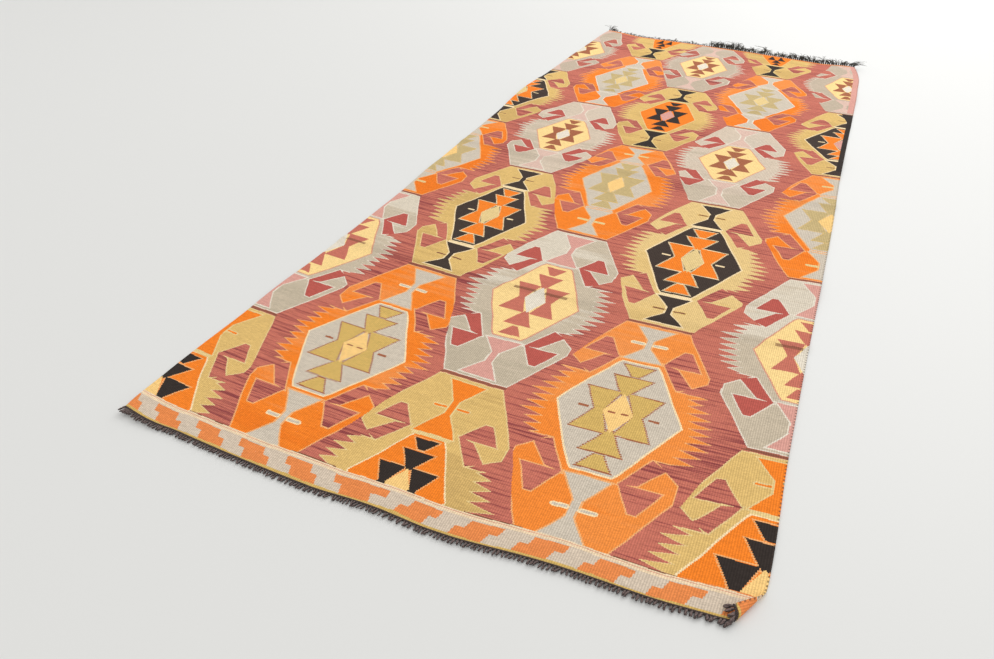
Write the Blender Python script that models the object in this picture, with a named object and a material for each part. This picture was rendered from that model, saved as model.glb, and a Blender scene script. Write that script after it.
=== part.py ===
"""Long flat-woven kilim rug, lying on the floor as it was last unfolded.

Metres, +Z up, +Y along the rug from its bordered end to its far end, origin on
the floor under the middle of the rug.  The weave is counted in rows of
medallions: row 0 is the first one above the woven border, row 9 is the last.
A place on the cloth is (across, row), with across 0 at the left selvedge and 1
at the right one.
"""
import math

import bmesh
import bpy
import numpy as np

# ------------------------------------------------------------------ sizes (m)
CLOTH_THICK = 0.0025        # wool weft beaten over wool warp
NEAR_ROW = -0.10            # the cloth's first weft, below the woven border
FAR_ROW = 9.0               # its last weft, half way through a medallion
GAP = 0.0003                # between pieces that touch
MIDDLE = (0.0109, 1.8257)   # of the rug's outline, in the x and y of the table LIE

CORD_WIDTH = 0.0058         # twined end cord of warp ends
CORD_THICK = 0.0042
CORD_GAP = 0.0006           # from the cord to its fringe, narrower where they curl
NEAR_TEETH = 92             # short twisted fringe under the cord, up to the curl
NEAR_THICK = 0.0040
FAR_TEETH = 68              # long loose fringe of the other end, likewise
FAR_THICK = 0.0025
FAR_RISE = 0.38             # its loose ends spring up, by this share of their length
HEADER = 0.0035             # strip that joins a fringe's teeth
TIP_WIDTH = 0.62            # of a tooth's width at the strip

# Where the flat cloth lies: x from the middle motif and y from row 0.
# row, left edge x, right edge x, y at the left edge, y in the middle, y at the right edge
LIE = (
    (-0.10, -0.719, 0.727, -0.022, -0.032, 0.031),
    (0.00, -0.724, 0.730, 0.015, 0.008, 0.066),
    (1.00, -0.728, 0.732, 0.429, 0.405, 0.455),
    (2.00, -0.721, 0.737, 0.837, 0.800, 0.829),
    (3.00, -0.721, 0.744, 1.244, 1.196, 1.202),
    (4.00, -0.732, 0.750, 1.640, 1.592, 1.598),
    (5.00, -0.740, 0.751, 2.036, 1.988, 1.994),
    (6.00, -0.749, 0.758, 2.432, 2.387, 2.359),
    (7.00, -0.742, 0.766, 2.840, 2.785, 2.725),
    (8.00, -0.728, 0.770, 3.275, 3.194, 3.103),
    (8.60, -0.712, 0.766, 3.508, 3.438, 3.330),
    (9.00, -0.682, 0.738, 3.672, 3.598, 3.462),
)

# Where the bordered end is drawn in, which fades out over the first rows.
# across, how far it is drawn in (or let out, below 0), half width across
DRAWN_IN = (
    (0.050, -0.006, 0.07),
    (0.475, 0.007, 0.10),
    (0.745, 0.010, 0.15),
)
DRAWN_ROWS = 0.32           # from the end to where it has faded out

# Soft ridges left by the packing folds, right across the cloth.
# row at the left edge, row at the right edge, height, half width in rows
FOLDS = (
    (2.04, 2.10, 0.0040, 0.075),
    (4.30, 4.36, 0.0045, 0.085),
    (6.55, 6.60, 0.0035, 0.090),
)

# Ripples and lifted corners along the two selvedges.
# across of the edge, row, height, half length in rows, reach over the cloth
RIPPLES = (
    (0.0, -0.10, 0.0070, 0.32, 0.10),
    (0.0, 1.25, 0.0040, 0.40, 0.13),
    (0.0, 3.45, 0.0050, 0.45, 0.12),
    (0.0, 6.05, 0.0130, 0.80, 0.17),
    (0.0, 9.00, 0.0150, 0.60, 0.16),
    (1.0, 2.90, 0.0045, 0.40, 0.10),
    (1.0, 5.30, 0.0050, 0.55, 0.12),
    (1.0, 7.60, 0.0050, 0.50, 0.12),
    (1.0, 9.00, 0.0110, 0.50, 0.13),
)

# The near right corner is rolled up and over, about a line on the floor.
CURL_FOOT = (0.686, 0.030)  # where that line leaves the bordered end
CURL_HEAD = (0.716, 0.088)  # and where it leaves the right selvedge
CURL_RADIUS = 0.0075        # of the underside, which is the outer side
CURL_ANGLE = math.radians(184)
CURL_ACROSS = 0.960         # the curl is all beyond this, across the cloth
CURL_ROW = 0.14             # and before this row

# Length of the near fringe's tassels, which wear shorter to the right.
# across, length
NEAR_FRINGE = ((0.00, 0.0180), (0.35, 0.0155), (0.50, 0.0120), (1.00, 0.0110))

# Length of the far fringe, as ragged as it hangs together.
# across, length
FAR_FRINGE = (
    (0.00, 0.040), (0.05, 0.014), (0.12, 0.016), (0.28, 0.020), (0.38, 0.022),
    (0.44, 0.030), (0.47, 0.058), (0.55, 0.056), (0.62, 0.050), (0.80, 0.052),
    (0.92, 0.050), (1.00, 0.054),
)

# How finely the cloth is divided.
EVEN_COLUMNS = 17           # up to the curled corner
CURL_COLUMNS = 10           # over it
EVEN_ROWS = 31
CURL_ROWS = 10
FOLD_ROWS = 5               # over each packing fold

CLOTH_COLOUR = (0.60, 0.24, 0.11, 1.0)
CORD_COLOUR = (0.050, 0.030, 0.024, 1.0)
FRINGE_COLOUR = (0.035, 0.026, 0.022, 1.0)
WOOL_ROUGHNESS = 0.92

ROW, LEFT_X, RIGHT_X, LEFT_Y, MIDDLE_Y, RIGHT_Y = np.array(LIE).T


# ------------------------------------------------------------- lie of the cloth
def hump(distance):
    """A soft hump: 1 at distance 0, and nothing from distance 1 on."""
    return max(0.0, 1 - distance * distance) ** 2


def smooth_column(column, row):
    """Cubic Hermite curve through one column of LIE, straight beyond its ends."""
    slopes = np.gradient(column, ROW)
    inside = min(max(row, ROW[0]), ROW[-1])
    k = min(int(np.searchsorted(ROW, inside, side="right")) - 1, len(ROW) - 2)
    step = ROW[k + 1] - ROW[k]
    t = (inside - ROW[k]) / step
    value = (
        column[k] * (1 + 2 * t) * (1 - t) ** 2
        + column[k + 1] * t * t * (3 - 2 * t)
        + step * slopes[k] * t * (1 - t) ** 2
        - step * slopes[k + 1] * t * t * (1 - t)
    )
    end_slope = slopes[0] if row < ROW[0] else slopes[-1]
    return value + end_slope * (row - inside)


def on_floor(across, row):
    """Plan view: x runs evenly between the selvedges, y bows as a parabola.

    The bordered end is drawn in by the humps of DRAWN_IN.
    """
    left, right = smooth_column(LEFT_X, row), smooth_column(RIGHT_X, row)
    bow = (
        2 * (across - 0.5) * (across - 1) * smooth_column(LEFT_Y, row)
        - 4 * across * (across - 1) * smooth_column(MIDDLE_Y, row)
        + 2 * across * (across - 0.5) * smooth_column(RIGHT_Y, row)
    )
    fade = hump((row - NEAR_ROW) / DRAWN_ROWS)
    drawn = sum(far * hump((across - place) / half) for place, far, half in DRAWN_IN)
    return left + across * (right - left), bow + fade * drawn


def lift(across, row):
    """Height of the underside over the floor, from the folds and the ripples."""
    height = 0.0
    for left_row, right_row, top, half_width in FOLDS:
        crest = left_row + (right_row - left_row) * across
        uneven = 0.75 + 0.25 * math.cos(9.0 * across + 5.0 * left_row)
        height += top * uneven * hump((row - crest) / half_width)
    for edge, middle, top, half_length, reach in RIPPLES:
        height += top * hump((row - middle) / half_length) * hump((across - edge) / reach)
    return height


def lay(across, row, above):
    """World place of a point of the cloth, at a height above its underside.

    Past the curl line the sheet runs round a cylinder that lies on the floor,
    and then straight on, back over the rug.
    """
    x, y = on_floor(across, row)
    z = lift(across, row) + above
    line_x, line_y = CURL_HEAD[0] - CURL_FOOT[0], CURL_HEAD[1] - CURL_FOOT[1]
    length = math.hypot(line_x, line_y)
    out_x, out_y = line_y / length, -line_x / length
    past = (x - CURL_FOOT[0]) * out_x + (y - CURL_FOOT[1]) * out_y
    if past > 0:
        angle = min(past / CURL_RADIUS, CURL_ANGLE)
        flap = past - angle * CURL_RADIUS
        radius = CURL_RADIUS - above
        reached = radius * math.sin(angle) + flap * math.cos(angle)
        x += (reached - past) * out_x
        y += (reached - past) * out_y
        z = CURL_RADIUS - radius * math.cos(angle) + flap * math.sin(angle)
    return x - MIDDLE[0], y - MIDDLE[1], z


def lay_between_columns(across, row, above):
    """As lay, but on the straight chord between two of the cloth's columns."""
    columns = cloth_columns()
    k = min(int(np.searchsorted(columns, across, side="right")), len(columns) - 1)
    share = (across - columns[k - 1]) / (columns[k] - columns[k - 1])
    before = np.array(lay(columns[k - 1], row, above))
    after = np.array(lay(columns[k], row, above))
    return tuple(before + (after - before) * share)


def row_beyond(row, distance, across):
    """The row that lies a distance beyond an end of the cloth, along the warp."""
    step = 0.01
    metres_per_row = (on_floor(across, row + step)[1] - on_floor(across, row)[1]) / step
    return row + distance / metres_per_row


# ------------------------------------------------------------------- building
def wool(name, colour):
    material = bpy.data.materials.new(name)
    material.use_nodes = True
    shader = material.node_tree.nodes["Principled BSDF"]
    shader.inputs["Base Color"].default_value = colour
    shader.inputs["Roughness"].default_value = WOOL_ROUGHNESS
    shader.inputs["Metallic"].default_value = 0.0
    return material


def flat_grid(columns, rows):
    """A flat grid with one vertex for each column and row."""
    bm = bmesh.new()
    bmesh.ops.create_grid(bm, x_segments=len(columns) - 1, y_segments=len(rows) - 1, size=0.5)
    for vertex in bm.verts:
        column = round((vertex.co.x + 0.5) * (len(columns) - 1))
        row = round((vertex.co.y + 0.5) * (len(rows) - 1))
        vertex.co = (columns[column], rows[row], 0.0)
    return bm


def lay_piece(name, bm, thickness, material, collection):
    """Give a flat sheet its thickness, lay it as the cloth lies and make it an object.

    The sheet's vertices hold (across, row, height above the underside).  Every
    piece is laid by one function, so the gaps between them stay open round the curl.
    """
    top = bmesh.ops.extrude_face_region(bm, geom=list(bm.faces), use_keep_orig=True)["geom"]
    for item in top:
        if isinstance(item, bmesh.types.BMVert):
            item.co.z += thickness
    for vertex in bm.verts:
        vertex.co = lay_between_columns(*vertex.co)
    bmesh.ops.recalc_face_normals(bm, faces=bm.faces)
    mesh = bpy.data.meshes.new(name)
    bm.to_mesh(mesh)
    bm.free()
    mesh.materials.append(material)
    collection.objects.link(bpy.data.objects.new(name, mesh))


def cloth_columns():
    """Even columns, with closer ones over the curled corner."""
    even = np.linspace(0, CURL_ACROSS, EVEN_COLUMNS)
    return np.concatenate([even, np.linspace(CURL_ACROSS, 1, CURL_COLUMNS)[1:]])


def cloth_rows():
    """Even rows, closer over the curled corner and at each packing fold."""
    rows = list(np.linspace(NEAR_ROW, CURL_ROW, CURL_ROWS))
    rows += list(np.linspace(CURL_ROW, FAR_ROW, EVEN_ROWS))[1:]
    for left_row, right_row, _, half_width in FOLDS:
        middle = (left_row + right_row) / 2
        reach = half_width + abs(right_row - left_row) / 2
        rows = [row for row in rows if abs(row - middle) > 1.2 * reach]
        rows += list(np.linspace(middle - reach, middle + reach, FOLD_ROWS))
    return sorted(rows)


def build_cloth(collection):
    """The woven cloth, border and both selvedges in one sheet."""
    bm = flat_grid(cloth_columns(), cloth_rows())
    lay_piece("kilim_cloth", bm, CLOTH_THICK, wool("woven wool", CLOTH_COLOUR), collection)


def build_end_cord(collection):
    """The twined cord of warp ends along the bordered end."""
    bm = flat_grid(cloth_columns(), (1.0, 0.5, 0.0))
    for vertex in bm.verts:
        beyond = GAP + CORD_WIDTH * vertex.co.y
        vertex.co.y = row_beyond(NEAR_ROW, -beyond, vertex.co.x)
    material = wool("twined warp ends", CORD_COLOUR)
    lay_piece("near_end_cord", bm, CORD_THICK, material, collection)


def build_fringe(name, teeth, end_row, start, length_at, rise, thickness, collection):
    """One comb: a narrow strip along the end, with a tapered tooth at every other space.

    The spaces are even up to the curled corner, and then the cloth's own
    columns.  start is how far beyond the cloth's end the strip begins; its
    sign says which way is out.  A tooth's tip rises by a share of its length.
    """
    even = np.linspace(0, CURL_ACROSS, 2 * teeth + 1)
    columns = np.concatenate([even, cloth_columns()[EVEN_COLUMNS:]])
    bm = flat_grid(columns, (0.0, HEADER))
    outer = [edge for edge in bm.edges if min(end.co.y for end in edge.verts) > HEADER / 2]
    outer.sort(key=lambda edge: edge.verts[0].co.x + edge.verts[1].co.x)
    for edge in outer[1::2]:
        middle = (edge.verts[0].co.x + edge.verts[1].co.x) / 2
        for item in bmesh.ops.extrude_edge_only(bm, edges=[edge])["geom"]:
            if isinstance(item, bmesh.types.BMVert):
                tip_x = middle + (item.co.x - middle) * TIP_WIDTH
                item.co = (tip_x, HEADER + length_at(middle), rise * length_at(middle))
    out = math.copysign(1.0, start)
    for vertex in bm.verts:
        vertex.co.y = row_beyond(end_row, start + out * vertex.co.y, vertex.co.x)
    material = wool(name.replace("_", " "), FRINGE_COLOUR)
    lay_piece(name, bm, thickness, material, collection)


def near_length(across):
    """Short twisted ends, slightly uneven."""
    places, lengths = np.array(NEAR_FRINGE).T
    uneven = 1 + 0.10 * math.sin(37 * across) + 0.08 * math.sin(91 * across)
    return float(np.interp(across, places, lengths)) * uneven


def far_length(across):
    """Ragged loose ends."""
    places, lengths = np.array(FAR_FRINGE).T
    ragged = 1 + 0.14 * math.sin(61 * across) + 0.10 * math.sin(143 * across)
    return float(np.interp(across, places, lengths)) * ragged


def main():
    for old in list(bpy.data.objects):
        bpy.data.objects.remove(old, do_unlink=True)
    collection = bpy.data.collections.new("kilim_rug")
    bpy.context.scene.collection.children.link(collection)
    build_cloth(collection)
    build_end_cord(collection)
    build_fringe("near_fringe", NEAR_TEETH, NEAR_ROW, -(GAP + CORD_WIDTH + CORD_GAP),
                 near_length, 0.0, NEAR_THICK, collection)
    build_fringe("far_fringe", FAR_TEETH, FAR_ROW, GAP, far_length,
                 FAR_RISE, FAR_THICK, collection)


main()
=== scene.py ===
"""Kilim rug add-on: a long flat-woven wool rug with rows of hooked medallions.

Metres, +Z up, +Y along the rug from its bordered end to its far end, origin on
the floor under the middle of the rug.  The weave is counted in rows of
medallions: row 0 is the first one above the woven border, row 9 is the last.
A place on the cloth is (across, row), with across 0 at the left selvedge and 1
at the right one.
"""
import math

import bpy
import numpy as np
from bpy.props import FloatProperty, FloatVectorProperty, IntProperty, PointerProperty
from mathutils import Matrix, Vector


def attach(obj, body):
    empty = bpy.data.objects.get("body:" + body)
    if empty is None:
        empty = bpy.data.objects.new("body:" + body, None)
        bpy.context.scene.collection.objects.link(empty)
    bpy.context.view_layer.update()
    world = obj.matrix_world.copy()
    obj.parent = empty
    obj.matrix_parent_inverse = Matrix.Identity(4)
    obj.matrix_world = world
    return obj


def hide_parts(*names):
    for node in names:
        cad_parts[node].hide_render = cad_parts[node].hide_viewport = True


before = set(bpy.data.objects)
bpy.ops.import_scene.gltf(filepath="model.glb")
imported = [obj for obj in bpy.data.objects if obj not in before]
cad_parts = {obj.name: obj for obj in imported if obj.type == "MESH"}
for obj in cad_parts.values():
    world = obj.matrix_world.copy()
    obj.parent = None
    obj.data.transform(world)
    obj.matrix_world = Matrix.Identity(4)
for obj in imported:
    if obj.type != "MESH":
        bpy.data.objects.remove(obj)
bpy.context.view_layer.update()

bl_info = {
    "name": "Kilim Rug",
    "version": (1, 0, 0),
    "blender": (4, 5, 0),
    "location": "View3D > Sidebar > Rug",
    "description": "Weaves a long kilim rug with hooked medallions, end cord and fringes",
    "category": "Add Mesh",
}

BODY = "root"

# ------------------------------------------------------- lie of the cloth (m)
NEAR_ROW = -0.10            # the cloth's first weft, below the woven border
FAR_ROW = 9.0               # its last weft, half way through a medallion
MIDDLE = (0.0109, 1.8257)   # of the rug's outline, in the x and y of the table LIE

# Where the flat cloth lies: x from the middle motif and y from row 0.
# row, left edge x, right edge x, y at the left edge, y in the middle, y at the right edge
LIE = (
    (-0.10, -0.719, 0.727, -0.022, -0.032, 0.031),
    (0.00, -0.724, 0.730, 0.015, 0.008, 0.066),
    (1.00, -0.728, 0.732, 0.429, 0.405, 0.455),
    (2.00, -0.721, 0.737, 0.837, 0.800, 0.829),
    (3.00, -0.721, 0.744, 1.244, 1.196, 1.202),
    (4.00, -0.732, 0.750, 1.640, 1.592, 1.598),
    (5.00, -0.740, 0.751, 2.036, 1.988, 1.994),
    (6.00, -0.749, 0.758, 2.432, 2.387, 2.359),
    (7.00, -0.742, 0.766, 2.840, 2.785, 2.725),
    (8.00, -0.728, 0.770, 3.275, 3.194, 3.103),
    (8.60, -0.712, 0.766, 3.508, 3.438, 3.330),
    (9.00, -0.682, 0.738, 3.672, 3.598, 3.462),
)

# Where the bordered end is drawn in, which fades out over the first rows.
# across, how far it is drawn in (or let out, below 0), half width across
DRAWN_IN = (
    (0.050, -0.006, 0.07),
    (0.475, 0.007, 0.10),
    (0.745, 0.010, 0.15),
)
DRAWN_ROWS = 0.32           # from the end to where it has faded out

# Soft ridges left by the packing folds, right across the cloth.
# row at the left edge, row at the right edge, height, half width in rows
FOLDS = (
    (2.04, 2.10, 0.0040, 0.075),
    (4.30, 4.36, 0.0045, 0.085),
    (6.55, 6.60, 0.0035, 0.090),
)
FOLD_MIDDLE, FOLD_UNEVEN = 0.75, 0.25    # shares of that height: half way, and how far it varies

# Ripples and lifted corners along the two selvedges.
# across of the edge, row, height, half length in rows, reach over the cloth
RIPPLES = (
    (0.0, -0.10, 0.0070, 0.32, 0.10),
    (0.0, 1.25, 0.0040, 0.40, 0.13),
    (0.0, 3.45, 0.0050, 0.45, 0.12),
    (0.0, 6.05, 0.0130, 0.80, 0.17),
    (0.0, 9.00, 0.0150, 0.60, 0.16),
    (1.0, 2.90, 0.0045, 0.40, 0.10),
    (1.0, 5.30, 0.0050, 0.55, 0.12),
    (1.0, 7.60, 0.0050, 0.50, 0.12),
    (1.0, 9.00, 0.0110, 0.50, 0.13),
)

# Waves all over the cloth, which never quite lies flat.
# waves across, waves per row, phase, height
WAVES = (
    (1.3, 0.45, 0.4, 0.0006),
    (2.9, -0.80, 2.1, 0.0005),
    (5.3, 1.70, 4.0, 0.0003),
)

# The near right corner is rolled up and over, about a line on the floor.
CURL_FOOT = (0.686, 0.030)  # where that line leaves the bordered end
CURL_HEAD = (0.716, 0.088)  # and where it leaves the right selvedge
CURL_RADIUS = 0.0075        # of the underside, which is the outer side
CURL_ANGLE = math.radians(184)

# The near fringe's tassels, further apart to the right and longest at both corners.
# across, spacing, radius of a ply, share of the full length
NEAR_FRINGE = (
    (0.00, 0.0034, 0.0020, 1.60), (0.02, 0.0060, 0.0018, 1.25), (0.30, 0.0074, 0.0018, 1.15),
    (0.60, 0.0082, 0.0020, 1.10), (0.96, 0.0086, 0.0023, 1.10), (1.00, 0.0074, 0.0027, 1.65),
)

# The far fringe's length and how thickly it hangs.
# across, length, strands per metre
FAR_FRINGE = (
    (0.00, 0.034, 1300), (0.025, 0.030, 900), (0.04, 0.009, 300), (0.12, 0.012, 600),
    (0.28, 0.016, 700), (0.38, 0.015, 600), (0.44, 0.014, 400), (0.47, 0.044, 1500),
    (0.55, 0.042, 1500), (0.60, 0.034, 1200), (0.66, 0.035, 1300), (0.80, 0.035, 1300),
    (0.92, 0.036, 1400), (1.00, 0.052, 1500),
)

ROW, LEFT_X, RIGHT_X, LEFT_Y, MIDDLE_Y, RIGHT_Y = np.array(LIE).T


def hump(distance):
    """(1 - d^2)^2 within distance 1 of the crest, and 0 beyond it."""
    return np.maximum(0.0, 1 - distance * distance) ** 2


def smooth_column(column, row):
    """Cubic Hermite curve through one column of LIE, straight beyond its ends."""
    slopes = np.gradient(column, ROW)
    inside = np.clip(row, ROW[0], ROW[-1])
    k = np.clip(np.searchsorted(ROW, inside, side="right") - 1, 0, len(ROW) - 2)
    step = ROW[k + 1] - ROW[k]
    t = (inside - ROW[k]) / step
    value = (
        column[k] * (1 + 2 * t) * (1 - t) ** 2
        + column[k + 1] * t * t * (3 - 2 * t)
        + step * slopes[k] * t * (1 - t) ** 2
        - step * slopes[k + 1] * t * t * (1 - t)
    )
    end_slope = np.where(row < ROW[0], slopes[0], slopes[-1])
    return value + end_slope * (row - inside)


def on_floor(across, row):
    """Plan view: x runs evenly between the selvedges, y bows as a parabola.

    The bordered end is drawn in by the humps of DRAWN_IN.
    """
    left, right = smooth_column(LEFT_X, row), smooth_column(RIGHT_X, row)
    bow = (
        2 * (across - 0.5) * (across - 1) * smooth_column(LEFT_Y, row)
        - 4 * across * (across - 1) * smooth_column(MIDDLE_Y, row)
        + 2 * across * (across - 0.5) * smooth_column(RIGHT_Y, row)
    )
    fade = hump((row - NEAR_ROW) / DRAWN_ROWS)
    drawn = sum(far * hump((across - place) / half) for place, far, half in DRAWN_IN)
    return left + across * (right - left), bow + fade * drawn


def lift(across, row):
    """Height of the underside: the humps of FOLDS and RIPPLES, and raised cosines for WAVES.

    The height of a fold varies along it as a cosine, with a start of its own.
    """
    height = np.zeros(np.broadcast(across, row).shape)
    for left_row, right_row, top, half_width in FOLDS:
        crest = left_row + (right_row - left_row) * across
        uneven = FOLD_MIDDLE + FOLD_UNEVEN * np.cos(9.0 * across + 5.0 * left_row)
        height += top * uneven * hump((row - crest) / half_width)
    for edge, middle, top, half_length, reach in RIPPLES:
        height += top * hump((row - middle) / half_length) * hump((across - edge) / reach)
    for waves_across, waves_along, phase, top in WAVES:
        turn = 2 * math.pi * (waves_across * across + waves_along * row) + phase
        height += top * (0.5 + 0.5 * np.cos(turn))
    return height


def lay(across, row, above):
    """World places of points of the cloth, at heights above its underside.

    Past the curl line the sheet runs round a cylinder that lies on the floor:
    a point at distance s past the line goes to angle s / radius, and what is
    left after the full angle runs straight on, back over the rug.
    """
    across, row, above = np.broadcast_arrays(*(np.asarray(v, float) for v in (across, row, above)))
    x, y = on_floor(across, row)
    z = lift(across, row) + above
    foot, head = np.array(CURL_FOOT), np.array(CURL_HEAD)
    along = (head - foot) / np.linalg.norm(head - foot)
    out_x, out_y = along[1], -along[0]
    past = np.maximum((x - foot[0]) * out_x + (y - foot[1]) * out_y, 0.0)
    angle = np.minimum(past / CURL_RADIUS, CURL_ANGLE)
    flap = past - angle * CURL_RADIUS
    radius = CURL_RADIUS - above
    reached = radius * np.sin(angle) + flap * np.cos(angle)
    rolled = CURL_RADIUS - radius * np.cos(angle) + flap * np.sin(angle)
    x = x + (reached - past) * out_x - MIDDLE[0]
    y = y + (reached - past) * out_y - MIDDLE[1]
    return np.stack([x, y, np.where(past > 0, rolled, z)], axis=-1)


def row_beyond(row, distance, across):
    """The row that lies a distance beyond an end of the cloth, along the warp."""
    step = 0.01
    here, there = on_floor(across, row)[1], on_floor(across, row + step)[1]
    return row + distance * step / (there - here)


# --------------------------------------------------------------- mesh from numpy
def make_piece(name, points, faces, smooth_angle=None):
    """A mesh object at the origin from an array of points and a list of faces."""
    mesh = bpy.data.meshes.new(name)
    mesh.from_pydata(points.reshape(-1, 3).tolist(), [], faces)
    mesh.shade_smooth()
    if smooth_angle is not None:
        mesh.set_sharp_from_angle(angle=smooth_angle)
    piece = bpy.data.objects.new(name, mesh)
    bpy.context.scene.collection.objects.link(piece)
    return piece


def grid_faces(rows, columns):
    """Quads of a grid of points numbered row by row, facing up where both run forwards."""
    first = (np.arange(rows - 1)[:, None] * columns + np.arange(columns - 1)).ravel()
    return np.stack([first, first + 1, first + columns + 1, first + columns], axis=1)


def closed_sheet(name, columns, rows, thickness):
    """The cloth as a closed sheet: lay() of a grid at height 0 and again at its thickness.

    Two UV maps go with it.  Weave holds (across, row) all over.  OFBake puts
    the top in the left half of the square and the underside in the right
    half, with the thin edges just outside the top.
    """
    across, row = np.meshgrid(columns, rows)
    top = lay(across, row, thickness)
    under = lay(across, row, 0.0)
    count = across.size
    faces_top = grid_faces(len(rows), len(columns))
    faces_under = faces_top[:, ::-1] + count
    index = np.arange(count).reshape(across.shape)
    rim = np.concatenate([index[0], index[1:, -1], index[-1, -2::-1], index[-2:0:-1, 0]])
    after = np.roll(rim, -1)
    faces_rim = np.stack([rim + count, after + count, after, rim], axis=1)
    faces = np.concatenate([faces_top, faces_under, faces_rim])
    points = np.concatenate([top.reshape(-1, 3), under.reshape(-1, 3)])
    piece = make_piece(name, points, faces.tolist(), smooth_angle=math.radians(50))

    corner = np.tile(np.stack([across.ravel(), row.ravel()], axis=1), (2, 1))
    weave = piece.data.uv_layers.new(name="Weave")
    weave.data.foreach_set("uv", corner[faces.ravel()].ravel())

    margin, edge = 0.008, 0.004     # round each half, and from the top out to the thin edges
    along = (row - rows[0]) / (rows[-1] - rows[0])
    flat = np.stack([across.ravel(), along.ravel()], axis=1)
    left = margin + flat * (0.5 - 2 * margin, 1 - 2 * margin)
    right = left + (0.5, 0.0)
    out = left + edge * np.trunc(np.round(2 * flat - 1, 6))
    rim_corner = faces_rim.ravel()
    lower = rim_corner >= count
    rim_bake = np.where(lower[:, None], out[rim_corner % count], left[rim_corner % count])
    bake = np.concatenate([left[faces_top.ravel()], right[faces_under.ravel() - count], rim_bake])
    piece.data.uv_layers.new(name="OFBake").data.foreach_set("uv", bake.ravel())
    return piece


def unit(vectors):
    """Vectors at length 1."""
    return vectors / np.maximum(np.linalg.norm(vectors, axis=-1, keepdims=True), 1e-12)


def strands(name, paths, radii, sides, reference):
    """Round strands along many paths of equally many points, all in one mesh.

    Round each path point runs a ring: point + radius * (cos a * side + sin a * up),
    with side square to the path and to the reference direction.  The two end
    rings are closed with one face each.
    """
    paths = np.asarray(paths)
    tangent = unit(np.gradient(paths, axis=1))
    side = unit(np.cross(tangent, reference))
    up = np.cross(side, tangent)
    angle = np.linspace(0, 2 * math.pi, sides, endpoint=False)
    ring = (
        np.cos(angle)[:, None] * side[:, :, None, :]
        + np.sin(angle)[:, None] * up[:, :, None, :]
    )
    points = paths[:, :, None, :] + radii[:, :, None, None] * ring
    many, long = paths.shape[:2]
    index = np.arange(many * long * sides).reshape(many, long, sides)
    here, there = index[:, :-1], index[:, 1:]
    walls = np.stack(
        [here, there, np.roll(there, -1, axis=2), np.roll(here, -1, axis=2)], axis=-1
    )
    faces = walls.reshape(-1, 4).tolist()
    faces += index[:, 0].tolist() + index[:, -1, ::-1].tolist()
    return make_piece(name, points, faces)


# ---------------------------------------------------------------- shader numbers
def math_node(operation, swapped=False):
    """A method that adds one Math node.  Swapped, the other number comes first."""
    def method(self, *others):
        values = (*others, self) if swapped else (self, *others)
        return self.net.math(operation, *values)
    return method


class Number:
    """A socket that carries a number.  Arithmetic on it adds Math nodes."""

    def __init__(self, net, socket):
        self.net, self.socket = net, socket

    __add__ = __radd__ = math_node("ADD")
    __mul__ = __rmul__ = math_node("MULTIPLY")
    __sub__ = math_node("SUBTRACT")
    __rsub__ = math_node("SUBTRACT", swapped=True)
    __truediv__ = math_node("DIVIDE")
    __lt__ = math_node("LESS_THAN")
    __gt__ = math_node("GREATER_THAN")
    __abs__ = math_node("ABSOLUTE")
    most = math_node("MAXIMUM")
    least = math_node("MINIMUM")
    floor = math_node("FLOOR")
    nearest = math_node("ROUND")
    fraction = math_node("FRACT")
    sign = math_node("SIGN")
    cosine = math_node("COSINE")
    to_and_fro = math_node("PINGPONG")   # rises to the reach and falls to 0, over and over

    def held(self, low, high):
        return self.most(low).least(high)


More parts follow.
